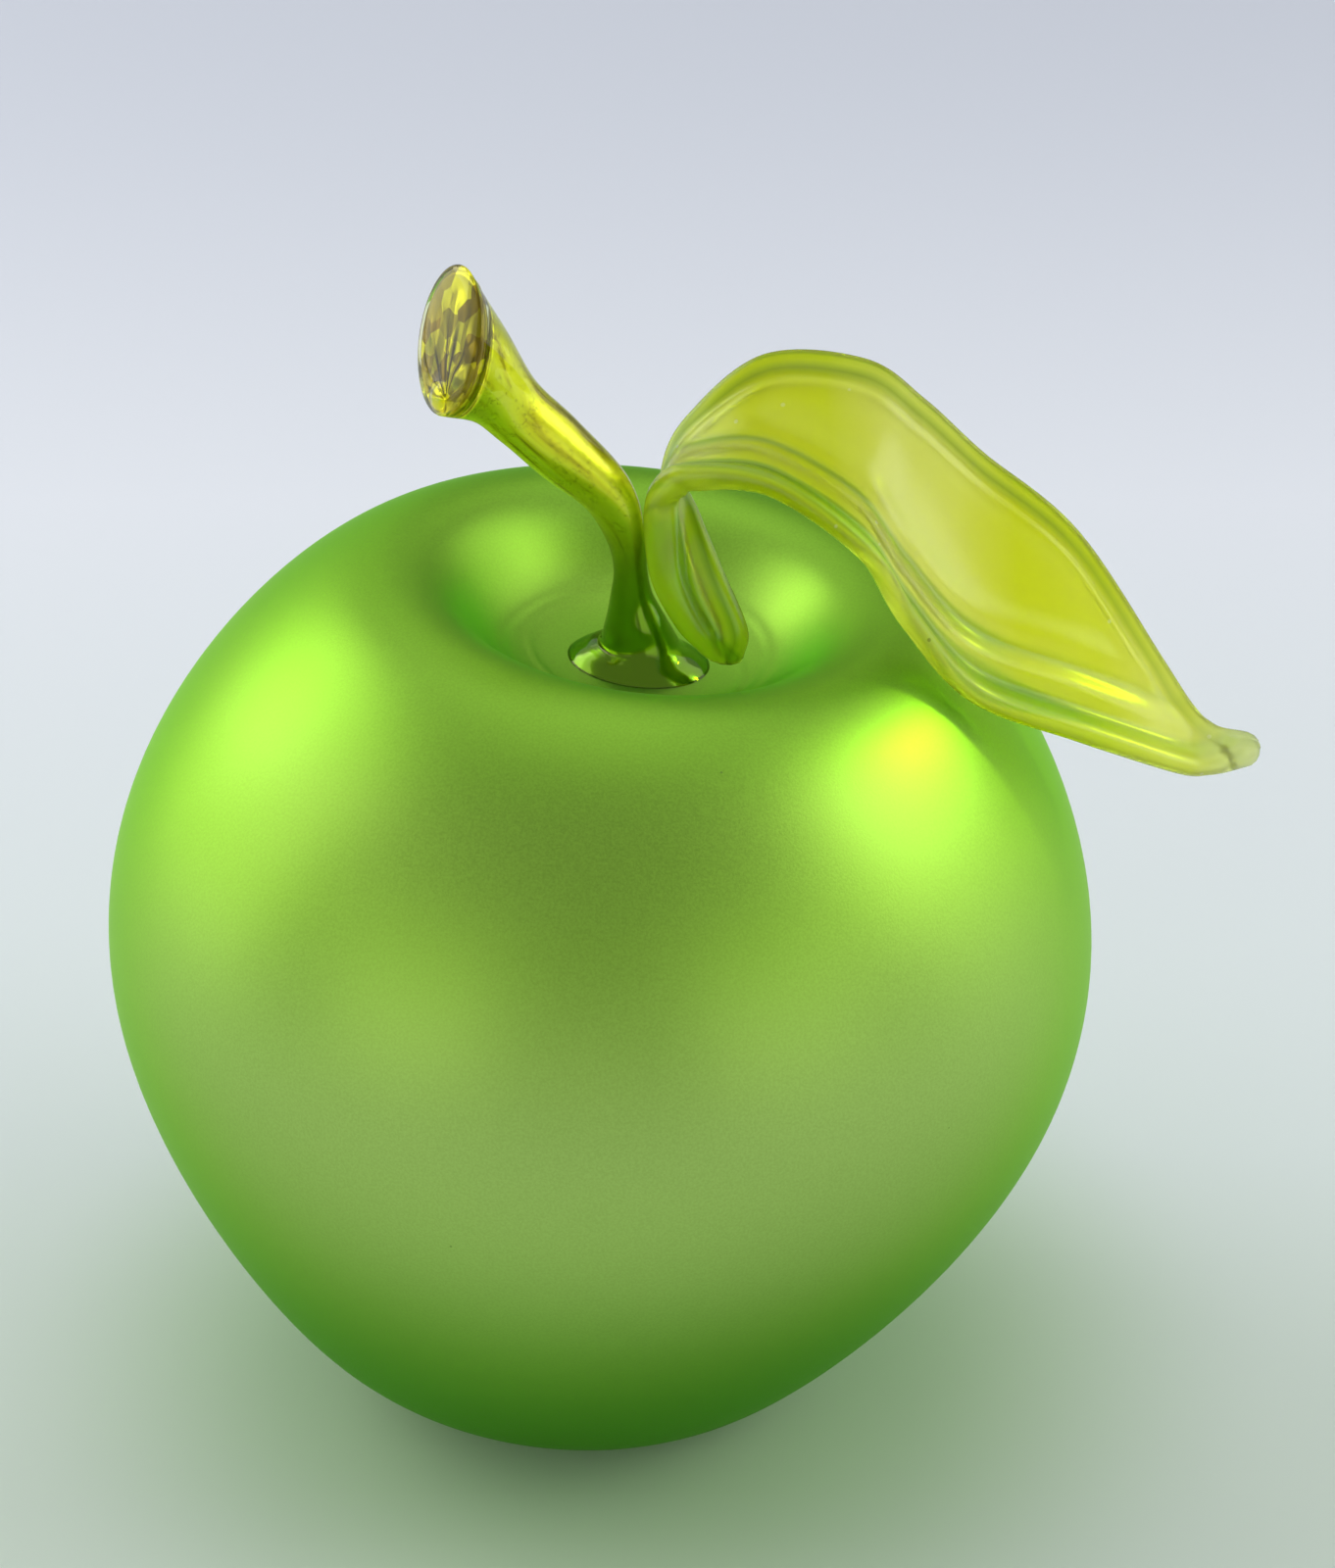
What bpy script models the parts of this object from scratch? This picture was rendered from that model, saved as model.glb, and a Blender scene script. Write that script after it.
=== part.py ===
"""Blown glass apple with a glass stem and a ribbon-like glass leaf.

The apple leans a little, so its dimple lies right of the ground spot that it stands on.
Metres, +Z up. The origin is the centre of that spot, on the table.
"""

import math

import bmesh
import bpy
import numpy as np
from mathutils import Matrix, Vector

MM = 0.001
ASSEMBLY = "glass_apple"
CLEARANCE = 0.3

# Apple, in millimetres. The outline is a smooth curve drawn towards these points,
# each a distance from the axis and a height, from the dimple's floor to the base.
APPLE_LEAN_DEG = 6.5
APPLE_OFFSET_X = -8.0
APPLE_OFFSET_Z = 1.65
DIMPLE_FLOOR = 73.8
BLOW_HOLE_RADIUS = 3.0
WALL = 4.0
APPLE_OUTLINE = (
    (BLOW_HOLE_RADIUS, DIMPLE_FLOOR),
    (5.5, DIMPLE_FLOOR),
    (13.0, 73.6),
    (18.0, 82.8),
    (29.3, 81.2),
    (44.2, 62.0),
    (48.2, 36.6),
    (29.0, 5.5),
    (20.5, -0.1),
    (10.0, -2.4),
    (0.0, -2.4),
)
OUTLINE_POINTS = 30
APPLE_SEGMENTS = 48
TABLE_HEIGHT = 0.0
GRINDER = (120.0, 120.0, 20.0)

# Stem, in millimetres: centre and radius at places from the foot to the pinched end.
STEM_STATIONS = (
    (0.8, 0.2, 76.1, 4.3),
    (0.6, 0.1, 77.4, 3.4),
    (0.4, 0.0, 79.0, 2.8),
    (0.1, -0.1, 81.6, 1.95),
    (0.0, -0.3, 84.6, 1.5),
    (-0.4, -0.6, 88.2, 1.85),
    (-2.2, -1.0, 92.6, 2.35),
    (-6.2, -2.0, 97.2, 2.75),
    (-9.6, -3.0, 101.2, 2.8),
    (-12.2, -3.7, 105.2, 3.9),
)
STEM_SIDES = 20
STEM_RINGS_PER_SPAN = 3
CUT_CENTRE = (-15.2, -4.5, 108.4)
CUT_NORMAL = (-0.82, -0.46, 0.35)
CUT_LONG_AXIS = (0.09, 0.50, 0.86)
CUT_LONG_RADIUS = 6.5
CUT_SHORT_RADIUS = 5.0
CUT_TILT_START = 0.55
UPRIGHT_SHARE = 0.15

# The stem's thin oval foot. It is lifted a little more than the clearance, because the
# dimple's floor rises under the foot's rim.
FOOT_OFFSET = (0.4, 0.3)
FOOT_LIFT = CLEARANCE + 0.1
FOOT_WIDE_RADIUS = 6.6
FOOT_DEEP_RADIUS = 5.4
FOOT_EDGE = 0.45

# Rings of the foot, each a height and an inset in shares of its edge, and of the low dome
# on the pinched end, each a share of its height and of its size
FOOT_STEPS = ((0.0, 0.5), (0.5, 0.0), (1.0, 1.0))
DOME_HEIGHT = 0.6
DOME_STEPS = ((0.45, 0.85), (0.8, 0.6), (1.0, 0.25))

# Leaf, in millimetres: its near edge and its far edge at the same places along it,
# from the pad in the dimple, up the stalk, over the arch and down the blade to the tip.
LEAF_STATIONS = (
    ((6.4, -4.2, 77.9), (10.0, -2.7, 76.9)),
    ((4.1, -4.0, 80.5), (10.4, -2.2, 79.5)),
    ((1.9, -3.4, 85.2), (8.2, -0.6, 84.4)),
    ((2.0, -3.2, 90.9), (5.4, 2.8, 88.7)),
    ((3.3, -3.4, 93.3), (3.7, 5.0, 91.6)),
    ((5.5, -4.0, 94.6), (5.6, 7.0, 96.0)),
    ((12.5, -7.0, 95.0), (11.9, 7.5, 101.6)),
    ((20.5, -10.0, 90.0), (20.5, 5.5, 102.2)),
    ((24.5, -11.0, 83.7), (25.7, 4.5, 98.9)),
    ((30.2, -11.5, 77.0), (31.0, 3.5, 94.2)),
    ((39.6, -10.0, 72.3), (39.8, 1.5, 87.2)),
    ((48.8, -7.5, 67.8), (49.2, -0.8, 73.0)),
    ((52.0, -6.5, 67.0), (52.3, -2.2, 69.8)),
    ((55.2, -5.6, 67.3), (55.5, -3.0, 69.2)),
)
LEAF_SECTIONS_PER_SPAN = 4
PAD_RIM = 1.6
NEAR_RIM = 1.2
FAR_RIM = 0.85
TIP_RIM = 1.45
LARGEST_RIM_SHARE = 0.55
BLADE_THICKNESS = 1.2
BLADE_CUP = 1.5

# Half of a rolled rim's section, in rim radii: its point half way round, then the place
# where it fades into the web, with the share of the rim that is left there
RIM_CORNER = (0.3, 0.71)
RIM_FADE = (1.8, 0.6)
WEB_REACH = 0.45

# Shares of the leaf's length over which its rim and its cup change
RIM_THINS = (0.05, 0.35)
TIP_THICKENS = (0.9, 1.0)
CUP_DEEPENS = (0.3, 0.5)
CUP_FADES = (0.97, 0.75)

# How the ends of the leaf close: the size of the last ring and how far out it lies
PAD_END = (0.55, 0.6)
TIP_END = (0.65, 1.1)

# Colours (linear RGB), roughness and metallic value of each kind of glass
GLASS_FINISHES = {
    "apple_satin_glass": ((0.24, 0.56, 0.05, 1.0), 0.40, 0.90),
    "stem_clear_glass": ((0.62, 0.58, 0.02, 1.0), 0.05, 0.0),
    "leaf_satin_glass": ((0.56, 0.72, 0.09, 1.0), 0.28, 0.0),
}


def clear_scene():
    """Start from an empty scene."""
    for item in list(bpy.data.objects):
        bpy.data.objects.remove(item, do_unlink=True)


def new_collection(name):
    """Add a collection to the scene."""
    collection = bpy.data.collections.new(name)
    bpy.context.scene.collection.children.link(collection)
    return collection


def glass(name):
    """Make the material of one piece."""
    colour, roughness, metallic = GLASS_FINISHES[name]
    material = bpy.data.materials.new(name)
    material.use_nodes = True
    shader = material.node_tree.nodes["Principled BSDF"]
    shader.inputs["Base Color"].default_value = colour
    shader.inputs["Roughness"].default_value = roughness
    shader.inputs["Metallic"].default_value = metallic
    return material


def drawn_curve(controls, count):
    """Points along a clamped cubic B-spline that is drawn towards its controls."""
    controls = np.array(controls, dtype=float)
    spans = len(controls) - 3
    knots = np.concatenate([np.zeros(3), np.linspace(0.0, 1.0, spans + 1), np.ones(3)])
    points = []
    for place in np.linspace(0.0, 1.0, count):
        span = min(int(place * spans), spans - 1) + 3
        near = [controls[span - 3 + i] for i in range(4)]
        for level in range(1, 4):
            for i in range(3, level - 1, -1):
                low = knots[span - 3 + i]
                high = knots[span + 1 + i - level]
                share = (place - low) / (high - low)
                near[i] = (1.0 - share) * near[i - 1] + share * near[i]
        points.append(near[3])
    return np.array(points)


def smooth_through(stations, per_span):
    """Points along a Catmull-Rom curve that passes through every station."""
    stations = np.array(stations, dtype=float)
    first = 2.0 * stations[0] - stations[1]
    last = 2.0 * stations[-1] - stations[-2]
    padded = np.vstack([first, stations, last])
    points = []
    for index in range(1, len(padded) - 2):
        a, b, c, d = padded[index - 1 : index + 3]
        for step in range(per_span):
            t = step / per_span
            bend = (2.0 * a - 5.0 * b + 4.0 * c - d) * t**2
            twist = (3.0 * b - a - 3.0 * c + d) * t**3
            points.append(0.5 * (2.0 * b + (c - a) * t + bend + twist))
    points.append(stations[-1])
    return np.array(points).tolist()


def ease(start, end, value):
    """Rise smoothly from 0 at start to 1 at end."""
    share = min(max((value - start) / (end - start), 0.0), 1.0)
    return share * share * (3.0 - 2.0 * share)


def add_object(name, mesh, collection, material=None):
    """Put a mesh in the scene as one named object."""
    item = bpy.data.objects.new(name, mesh)
    collection.objects.link(item)
    if material:
        mesh.materials.append(material)
    return item


def loft(name, rings, collection, material):
    """Make a closed solid through rings that all have the same number of points."""
    shape = bmesh.new()
    loops = [[shape.verts.new(Vector(point) * MM) for point in ring] for ring in rings]
    sides = len(rings[0])
    for low, high in zip(loops, loops[1:]):
        for i in range(sides):
            j = (i + 1) % sides
            shape.faces.new((low[i], low[j], high[j], high[i]))
    caps = [shape.faces.new(reversed(loops[0])), shape.faces.new(loops[-1])]
    bmesh.ops.poke(shape, faces=caps)
    bmesh.ops.triangulate(shape, faces=shape.faces[:])
    bmesh.ops.recalc_face_normals(shape, faces=shape.faces[:])
    mesh = bpy.data.meshes.new(name)
    shape.to_mesh(mesh)
    shape.free()
    mesh.shade_smooth()
    return add_object(name, mesh, collection, material)


def build_apple(parts, cutters):
    """Turn the hollow apple, lean it and grind its base flat."""
    outline = drawn_curve(APPLE_OUTLINE, OUTLINE_POINTS) * MM
    profile = bmesh.new()
    points = [profile.verts.new((radius, 0.0, height)) for radius, height in outline]
    for upper, lower in zip(points, points[1:]):
        profile.edges.new((upper, lower))
    mesh = bpy.data.meshes.new("apple_body")
    profile.to_mesh(mesh)
    profile.free()

    apple = add_object("apple_body", mesh, parts, glass("apple_satin_glass"))
    apple.rotation_euler = (0.0, math.radians(APPLE_LEAN_DEG), 0.0)
    apple.location = (APPLE_OFFSET_X * MM, 0.0, APPLE_OFFSET_Z * MM)

    turn = apple.modifiers.new("turn", "SCREW")
    turn.axis = "Z"
    turn.angle = math.tau
    turn.steps = APPLE_SEGMENTS
    turn.render_steps = APPLE_SEGMENTS
    turn.use_merge_vertices = True
    turn.merge_threshold = 0.00005
    turn.use_smooth_shade = True

    wall = apple.modifiers.new("wall", "SOLIDIFY")
    wall.thickness = WALL * MM
    wall.offset = -1.0

    slab = bmesh.new()
    bmesh.ops.create_cube(slab, size=1.0)
    bmesh.ops.scale(slab, verts=slab.verts, vec=Vector(GRINDER) * MM)
    grinder_mesh = bpy.data.meshes.new("base_grinder")
    slab.to_mesh(grinder_mesh)
    slab.free()
    grinder = add_object("base_grinder", grinder_mesh, cutters)
    grinder.location = (0.0, 0.0, (TABLE_HEIGHT - GRINDER[2] / 2.0) * MM)
    grinder.hide_render = True
    grinder.display_type = "WIRE"

    grind = apple.modifiers.new("ground_spot", "BOOLEAN")
    grind.operation = "DIFFERENCE"
    grind.solver = "EXACT"
    grind.object = grinder
    return apple


def on_apple(x, y, height):
    """Turn a place in the leaning apple's own frame into a place in the world."""
    lean = Matrix.Rotation(math.radians(APPLE_LEAN_DEG), 3, "Y")
    offset = Vector((APPLE_OFFSET_X, 0.0, APPLE_OFFSET_Z))
    return lean @ Vector((x, y, height)) + offset


def oval_ring(centre, normal, long_radius, short_radius):
    """Points round an oval whose long axis follows the cut's long axis."""
    normal = Vector(normal).normalized()
    guide = Vector(CUT_LONG_AXIS)
    long_axis = (guide - guide.dot(normal) * normal).normalized()
    short_axis = long_axis.cross(normal)
    ring = []
    for i in range(STEM_SIDES):
        angle = math.tau * i / STEM_SIDES
        along = long_radius * math.cos(angle) * long_axis
        across = short_radius * math.sin(angle) * short_axis
        ring.append(Vector(centre) + along + across)
    return ring


def build_stem(parts):
    """Draw the stem from its pooled foot to its wide slanting end."""
    axis = on_apple(0.0, 0.0, 1.0) - on_apple(0.0, 0.0, 0.0)
    floor = on_apple(*FOOT_OFFSET, DIMPLE_FLOOR + FOOT_LIFT)
    rings = []
    for height, inset in FOOT_STEPS:
        long_radius = FOOT_DEEP_RADIUS - FOOT_EDGE * inset
        short_radius = FOOT_WIDE_RADIUS - FOOT_EDGE * inset
        rings.append(oval_ring(floor + axis * FOOT_EDGE * height, axis, long_radius, short_radius))
    end_radius = (CUT_LONG_RADIUS + CUT_SHORT_RADIUS) / 2.0
    stations = STEM_STATIONS + ((*CUT_CENTRE, end_radius),)
    path = smooth_through(stations, STEM_RINGS_PER_SPAN)
    cut_normal = Vector(CUT_NORMAL).normalized()
    for index, (x, y, z, radius) in enumerate(path):
        before = Vector(path[max(index - 1, 0)][:3])
        after = Vector(path[min(index + 1, len(path) - 1)][:3])
        along = (after - before).normalized()
        share = index / (len(path) - 1)
        upright = ease(UPRIGHT_SHARE, 0.0, share)
        tilt = ease(CUT_TILT_START, 1.0, share)
        normal = along.lerp(axis, upright).lerp(cut_normal, tilt)
        long_radius = radius + (CUT_LONG_RADIUS - end_radius) * tilt
        short_radius = radius + (CUT_SHORT_RADIUS - end_radius) * tilt
        rings.append(oval_ring((x, y, z), normal, long_radius, short_radius))
    for rise, size in DOME_STEPS:
        centre = Vector(CUT_CENTRE) + cut_normal * DOME_HEIGHT * rise
        rings.append(oval_ring(centre, cut_normal, CUT_LONG_RADIUS * size, CUT_SHORT_RADIUS * size))
    return loft("stem", rings, parts, glass("stem_clear_glass"))


def rim_side(half_width, rim, web):
    """Half of a rim's section, from the leaf's edge inwards: distances and half thicknesses."""
    corner_in, corner_up = RIM_CORNER
    fade_in, rim_left = RIM_FADE
    return (
        (half_width, 0.0),
        (half_width - corner_in * rim, corner_up * rim),
        (half_width - rim, rim),
        (half_width - fade_in * rim, rim_left * rim + (1.0 - rim_left) * web),
        ((half_width - rim) * WEB_REACH, web),
    )


def leaf_section(near, far, along, near_rim, far_rim, cup):
    """Points round a thin strip with a round rim on each edge and a cupped web between."""
    across = (far - near).normalized()
    half_width = (far - near).length / 2.0
    up = along.cross(across).normalized()
    middle = (near + far) / 2.0
    largest = half_width * LARGEST_RIM_SHARE
    near_rim = min(near_rim, largest)
    far_rim = min(far_rim, largest)
    web = min(BLADE_THICKNESS / 2.0, near_rim, far_rim)
    near_side = [(-x, z) for x, z in rim_side(half_width, near_rim, web)]
    far_side = [(x, z) for x, z in reversed(rim_side(half_width, far_rim, web))]
    top = near_side + [(0.0, web)] + far_side
    outline = top + [(x, -z) for x, z in reversed(top[1:-1])]
    ring = []
    for x, z in outline:
        sag = cup * (1.0 - (x / half_width) ** 2)
        ring.append(middle + across * x + up * (z - sag))
    return ring


def shrunken(ring, inner, size, reach):
    """A smaller copy of an end ring, moved outwards so that the end is round."""
    centre = sum(ring, Vector()) / len(ring)
    inside = sum(inner, Vector()) / len(inner)
    outwards = (centre - inside).normalized() * reach
    return [centre + (point - centre) * size + outwards for point in ring]


def rim_along(blade_rim, share):
    """The radius of a rim at a share of the leaf's length, thicker at the pad and the tip."""
    thinned = PAD_RIM + (blade_rim - PAD_RIM) * ease(*RIM_THINS, share)
    return thinned + (TIP_RIM - blade_rim) * ease(*TIP_THICKENS, share)


def build_leaf(parts):
    """Draw the leaf as one strip that twists from its stalk into its blade."""
    stations = [near + far for near, far in LEAF_STATIONS]
    path = smooth_through(stations, LEAF_SECTIONS_PER_SPAN)
    near_edge = [Vector(row[:3]) for row in path]
    far_edge = [Vector(row[3:]) for row in path]
    rings = []
    last = len(path) - 1
    for index, (near, far) in enumerate(zip(near_edge, far_edge)):
        low = max(index - 1, 0)
        high = min(index + 1, last)
        along = near_edge[high] + far_edge[high] - near_edge[low] - far_edge[low]
        share = index / last
        near_rim = rim_along(NEAR_RIM, share)
        far_rim = rim_along(FAR_RIM, share)
        cup = BLADE_CUP * ease(*CUP_DEEPENS, share) * ease(*CUP_FADES, share)
        rings.append(leaf_section(near, far, along, near_rim, far_rim, cup))
    rings.insert(0, shrunken(rings[0], rings[1], *PAD_END))
    rings.append(shrunken(rings[-1], rings[-2], *TIP_END))
    return loft("leaf", rings, parts, glass("leaf_satin_glass"))


def main():
    clear_scene()
    parts = new_collection(ASSEMBLY)
    cutters = new_collection("cutters")
    build_apple(parts, cutters)
    build_stem(parts)
    build_leaf(parts)


main()
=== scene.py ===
# %% [markdown]
# # A blown glass apple
#
# The object is a hollow glass apple with a glass stem and a ribbon of glass for a leaf.
# The apple is silvered inside and etched outside, so it glows like satin metal.
# The stem is a silvered tube under clear glass, and the leaf is solid, lightly etched glass.
#
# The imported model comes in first. It fixes where every piece is and how large it is,
# so each finer piece below stays where its plain solid was.

# %% Load the frame
import math

import bmesh
import bpy
import numpy as np
from mathutils import Matrix, Vector, noise


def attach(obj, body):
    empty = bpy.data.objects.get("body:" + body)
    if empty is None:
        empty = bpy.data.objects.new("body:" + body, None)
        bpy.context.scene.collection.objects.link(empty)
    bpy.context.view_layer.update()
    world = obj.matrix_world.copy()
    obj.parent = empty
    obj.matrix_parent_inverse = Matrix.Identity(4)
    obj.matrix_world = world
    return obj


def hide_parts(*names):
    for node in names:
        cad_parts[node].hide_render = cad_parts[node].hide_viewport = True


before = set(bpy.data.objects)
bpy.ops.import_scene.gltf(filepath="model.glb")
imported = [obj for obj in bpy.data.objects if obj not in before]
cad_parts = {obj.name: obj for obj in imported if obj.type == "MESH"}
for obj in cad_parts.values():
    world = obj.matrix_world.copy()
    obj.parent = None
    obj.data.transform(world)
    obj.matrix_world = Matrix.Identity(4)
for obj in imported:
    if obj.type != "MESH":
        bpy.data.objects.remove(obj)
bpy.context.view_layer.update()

MM = 0.001

# %% [markdown]
# ## Small helpers
#
# A glass blower works along flowing lines, so two kinds of curve do most of the work.
# One is drawn towards its points and suits the apple's outline. The other passes through
# its points and suits the stem and the leaf, whose places are known at a few stations.

# %% Curves
def drawn_curve(controls, count):
    """Points along a clamped cubic B-spline that is drawn towards its controls."""
    controls = np.array(controls, dtype=float)
    spans = len(controls) - 3
    knots = np.concatenate([np.zeros(3), np.linspace(0.0, 1.0, spans + 1), np.ones(3)])
    points = []
    for place in np.linspace(0.0, 1.0, count):
        span = min(int(place * spans), spans - 1) + 3
        near = [controls[span - 3 + i] for i in range(4)]
        for level in range(1, 4):
            for i in range(3, level - 1, -1):
                low = knots[span - 3 + i]
                high = knots[span + 1 + i - level]
                share = (place - low) / (high - low)
                near[i] = (1.0 - share) * near[i - 1] + share * near[i]
        points.append(near[3])
    return np.array(points)


def smooth_through(stations, per_span):
    """Points along a Catmull-Rom curve that passes through every station."""
    stations = np.array(stations, dtype=float)
    first = 2.0 * stations[0] - stations[1]
    last = 2.0 * stations[-1] - stations[-2]
    padded = np.vstack([first, stations, last])
    points = []
    for index in range(1, len(padded) - 2):
        a, b, c, d = padded[index - 1 : index + 3]
        for step in range(per_span):
            t = step / per_span
            bend = (2.0 * a - 5.0 * b + 4.0 * c - d) * t**2
            twist = (3.0 * b - a - 3.0 * c + d) * t**3
            points.append(0.5 * (2.0 * b + (c - a) * t + bend + twist))
    points.append(stations[-1])
    return np.array(points).tolist()


def ease(start, end, value):
    """Rise smoothly from 0 at start to 1 at end."""
    share = min(max((value - start) / (end - start), 0.0), 1.0)
    return share * share * (3.0 - 2.0 * share)


def swell(value, middle, width):
    """A soft hump that is 1 at its middle and fades out over its width."""
    return math.exp(-(((value - middle) / width) ** 2))


# %% Pieces and rings
def finish_piece(shape, name, material, replaced=None):
    """Turn a bmesh into a smooth piece that rides on the object's one body."""
    mesh = bpy.data.meshes.new(name)
    shape.to_mesh(mesh)
    shape.free()
    mesh.shade_smooth()
    mesh.materials.append(material)
    piece = bpy.data.objects.new(name, mesh)
    bpy.context.scene.collection.objects.link(piece)
    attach(piece, "root")
    if replaced:
        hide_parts(replaced)
    print(name, len(mesh.polygons), "faces")


def write_flow(verts, ring, layer, travelled, across):
    """Note on each point of a ring where it is round or across the glass, and how far along."""
    centre = sum(ring, Vector()) / len(ring)
    for i, (vert, point) in enumerate(zip(verts, ring)):
        turn = math.tau * i / len(ring)
        size = (point - centre).length
        first, second = across[i] if across else (size * math.cos(turn), size * math.sin(turn))
        vert[layer] = (first * MM, second * MM, travelled)
    return centre


def sweep_rings(rings, across=None):
    """Extrude one ring of points from place to place and close both ends."""
    across = across or [None] * len(rings)
    shape = bmesh.new()
    layer = shape.verts.layers.float_vector.new("flow")
    first = [shape.verts.new(Vector(point) * MM) for point in rings[0]]
    edges = [shape.edges.new((first[i - 1], first[i])) for i in range(len(first))]
    shape.faces.new(first)
    travelled = 0.0
    last_centre = write_flow(first, rings[0], layer, travelled, across[0])
    verts = first
    for ring, places in zip(rings[1:], across[1:]):
        grown = bmesh.ops.extrude_edge_only(shape, edges=edges)
        new_edges = [item for item in grown["geom"] if isinstance(item, bmesh.types.BMEdge)]
        new_verts = {item for item in grown["geom"] if isinstance(item, bmesh.types.BMVert)}
        follow = {}
        for vert in verts:
            for edge in vert.link_edges:
                other = edge.other_vert(vert)
                if other in new_verts:
                    follow[vert] = other
        verts = [follow[vert] for vert in verts]
        for vert, point in zip(verts, ring):
            vert.co = Vector(point) * MM
        travelled += (sum(ring, Vector()) / len(ring) - last_centre).length * MM
        last_centre = write_flow(verts, ring, layer, travelled, places)
        edges = new_edges
    shape.faces.new(verts)
    bmesh.ops.recalc_face_normals(shape, faces=shape.faces[:])
    return shape


# %% [markdown]
# ## Materials
#
# Colours are written as the eye names them, in sRGB hex, and one function turns them to
# the linear values that light needs. Another adds a node with its settings and links.

# %% Colour and nodes
def linear(hex_colour):
    """Turn an sRGB hex colour into linear red, green, blue and alpha."""
    channels = [int(hex_colour[i : i + 2], 16) / 255.0 for i in (1, 3, 5)]
    curve = [c / 12.92 if c <= 0.04045 else ((c + 0.055) / 1.055) ** 2.4 for c in channels]
    return (*curve, 1.0)


def add_node(tree, kind, settings=None, **inputs):
    """Add a node; settings are its own properties, inputs are values or sockets to link."""
    node = tree.nodes.new(kind)
    for key, value in (settings or {}).items():
        setattr(node, key, value)
    for key, value in inputs.items():
        socket = node.inputs[key.replace("_", " ")]
        if isinstance(value, bpy.types.NodeSocket):
            tree.links.new(value, socket)
        else:
            socket.default_value = value
    return node


def new_material(name):
    """An empty material and its node tree."""
    material = bpy.data.materials.new(name)
    material.use_nodes = True
    tree = material.node_tree
    tree.nodes.clear()
    print("material", name)
    return material, tree


def ramp(tree, fac, stops):
    """A colour ramp between (place, colour) stops."""
    node = add_node(tree, "ShaderNodeValToRGB", Fac=fac)
    elements = node.color_ramp.elements
    elements[0].position, elements[0].color = stops[0]
    elements[1].position, elements[1].color = stops[-1]
    for place, colour in stops[1:-1]:
        elements.new(place).color = colour
    return node.outputs["Color"]


# %% Heights and specks
def height_share(tree, place, low, high):
    """How far a point lies between two heights, from 0 to 1."""
    height = add_node(tree, "ShaderNodeSeparateXYZ", Vector=place).outputs["Z"]
    share = add_node(
        tree,
        "ShaderNodeMapRange",
        {"interpolation_type": "SMOOTHSTEP"},
        Value=height,
        From_Min=low,
        From_Max=high,
    )
    return share.outputs["Result"]


def specks(tree, place, colour, spacing, radius, speck_colour):
    """Scatter small round specks, such as dust or seeds in the glass, over a colour."""
    cells = add_node(tree, "ShaderNodeTexVoronoi", Vector=place, Scale=1.0 / spacing)
    inside = add_node(
        tree,
        "ShaderNodeMapRange",
        Value=cells.outputs["Distance"],
        From_Min=0.6 * radius / spacing,
        From_Max=radius / spacing,
        To_Min=0.7,
        To_Max=0.0,
    )
    mixed = add_node(
        tree,
        "ShaderNodeMixRGB",
        Fac=inside.outputs["Result"],
        Color1=colour,
        Color2=linear(speck_colour),
    )
    return mixed.outputs["Color"]


# %% [markdown]
# ## Satin silvered glass
#
# The apple is green glass with a mirror behind it. Its outside was etched, which breaks
# the surface into grains far finer than a hair. The eye gets a metal-like glow with wide
# soft highlights and a deeper, purer green where the light crosses the glass at a slant.
# It is modelled as a rough green metal whose edge tint keeps its rim from going white,
# under a thin rough coat for the etched skin. Towards the base the green is painted deeper
# and darker, a painted shade for the shadowed floor that the base reflects. Above that a
# paler, greyer belt is painted in, a painted reflection of the pale floor in front, which
# fades out again towards the top. Round the dimple the green is painted deeper again, a
# painted reflection of the dimple's own green mirrored in itself.

# %% Satin silvered glass
# Heights at which painted shade and painted reflections change the green, in metres
PAINTED_SHADE_FULL_BELOW = 0.010
PAINTED_BELT_MIDDLE = 0.050
PAINTED_BELT_TOP = 0.070
PAINTED_DIMPLE_GREEN_FROM = 0.075
PAINTED_DIMPLE_GREEN_FULL = 0.082

# The etch's own grain is a few hundredths of a millimetre. It is drawn at 0.22 mm to show.
ETCH_GRAIN = 0.00022
ETCH_DEPTH = 0.00005
CLOUD_SIZE = 0.030
DUST_SPACING = 0.0075
DUST_RADIUS = 0.00014


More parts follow.
